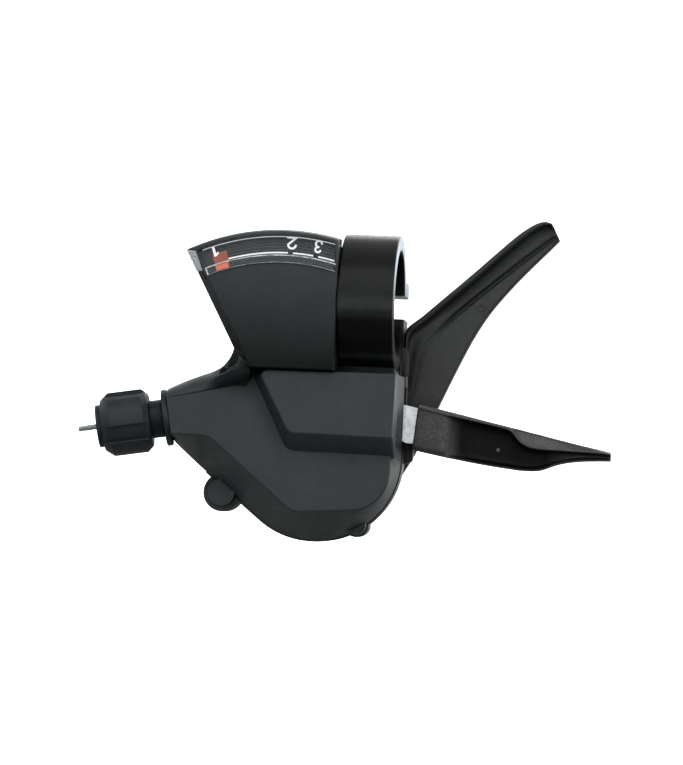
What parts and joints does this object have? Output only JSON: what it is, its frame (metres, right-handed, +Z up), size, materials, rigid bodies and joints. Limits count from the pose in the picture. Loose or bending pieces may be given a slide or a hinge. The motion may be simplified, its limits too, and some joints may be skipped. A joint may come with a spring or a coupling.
{
  "type": "thumb shifter",
  "caption": "Under-bar bicycle thumb shifter with a clamp band, fan-shaped gear window, thumb lever, release lever and barrel adjuster.",
  "frame": {"origin": "centre of the handlebar bore, at mid-width of the clamp band", "axes": "+X along the handlebar towards the grip, -Y towards the side that the gear window faces, +Z up across the window"},
  "size_m": [0.1131, 0.0372, 0.071],
  "materials": {
    "cover_plastic": "fine matte grain",
    "bracket_plastic": "moulded, slightly rough",
    "lever_plastic": "satin moulded",
    "release_plastic": "satin with fine speckle",
    "knob_plastic": "satin moulded",
    "clamp_black": "semi-gloss black coat",
    "black_bolt": "black oxide",
    "zinc_screw": "zinc plated",
    "zinc_steel": "zinc plated, mottled",
    "steel_part": "turned or drawn steel",
    "cable_steel": "stranded steel",
    "drum_plastic": "natural nylon",
    "clear_lens": "clear moulded",
    "dial_black": "matte print",
    "numeral_white": "white print",
    "needle_orange": "orange-red"
  },
  "bodies": {
    "root": {"top_cover": "cover_plastic", "base_bracket": "bracket_plastic", "cover_screws": "zinc_screw", "clamp_band": "clamp_black", "clamp_bolt": "black_bolt", "clamp_washer": "black_bolt", "clamp_nut": "zinc_screw", "indicator_cover": "cover_plastic", "indicator_base": "bracket_plastic", "indicator_screws": "zinc_screw", "indicator_lens": "clear_lens", "indicator_dial": "dial_black", "dial_numerals": "numeral_white", "needle_stud": "steel_part", "spout_bush": "knob_plastic", "adjuster_spring": "steel_part", "inner_cable": "cable_steel", "drum_spring": "steel_part", "main_axle": "steel_part", "axle_bolt": "black_bolt", "bottom_cap": "lever_plastic", "stop_pawl_pin": "steel_part", "stop_pawl_spring": "steel_part", "release_lever_pin": "steel_part", "release_lever_spring": "steel_part", "thumb_lever_spring": "steel_part"},
    "drum": {"cable_drum": "drum_plastic", "holding_ratchet": "zinc_steel", "drive_ratchet": "zinc_steel", "cable_nipple": "steel_part"},
    "needle": {"indicator_needle": "needle_orange"},
    "thumb": {"thumb_lever": "lever_plastic", "thumb_lever_plate": "zinc_steel", "lever_rivets": "steel_part", "drive_pawl_pin": "steel_part", "drive_pawl_spring": "steel_part"},
    "drive_dog": {"drive_pawl": "zinc_steel"},
    "release": {"release_lever_arm": "zinc_steel", "release_lever_cap": "release_plastic"},
    "stop_dog": {"stop_pawl": "zinc_steel"},
    "adjuster_slider": {"casing_seat": "drum_plastic"},
    "adjuster": {"adjuster_bolt": "steel_part", "adjuster_knob": "knob_plastic"}
  },
  "joints": [
    {"name": "thumb_lever_turn", "type": "hinge", "parent": "root", "child": "thumb", "pos_m": [-0.011, 0, -0.0325], "axis": [0, 1, 0], "range_deg": [0, 55]},
    {"name": "drive_pawl_lift", "type": "hinge", "parent": "thumb", "child": "drive_dog", "pos_m": [-0.00002, 0, -0.04019], "axis": [0, -1, 0], "range_deg": [0, 10]},
    {"name": "drum_turn", "type": "hinge", "parent": "root", "child": "drum", "pos_m": [-0.011, 0, -0.0325], "axis": [0, 1, 0], "range_deg": [0, 72]},
    {"name": "needle_turn", "type": "hinge", "parent": "root", "child": "needle", "pos_m": [-0.0175, 0, -0.0325], "axis": [0, 1, 0], "range_deg": [0, 28]},
    {"name": "release_lever_turn", "type": "hinge", "parent": "root", "child": "release", "pos_m": [-0.002, 0, -0.0225], "axis": [0, -1, 0], "range_deg": [0, 13]},
    {"name": "stop_pawl_turn", "type": "hinge", "parent": "root", "child": "stop_dog", "pos_m": [0.0035, 0, -0.0272], "axis": [0, -1, 0], "range_deg": [0, 8]},
    {"name": "adjuster_travel", "type": "slide", "parent": "root", "child": "adjuster_slider", "axis": [-0.98, -0.1045, -0.1693], "range_m": [0, 0.0024]},
    {"name": "adjuster_spin", "type": "hinge", "parent": "adjuster_slider", "child": "adjuster", "pos_m": [-0.04159, -0.00275, -0.02601], "axis": [-0.98, -0.1045, -0.1693], "range_deg": [0, 1080]}
  ],
  "couplings": [
    {"joint": "needle_turn", "follows": "drum_turn", "ratio": 0.38095},
    {"joint": "stop_pawl_turn", "follows": "release_lever_turn", "ratio": 0.6},
    {"joint": "adjuster_spin", "follows": "adjuster_travel", "rad_per_m": 7854}
  ]
}
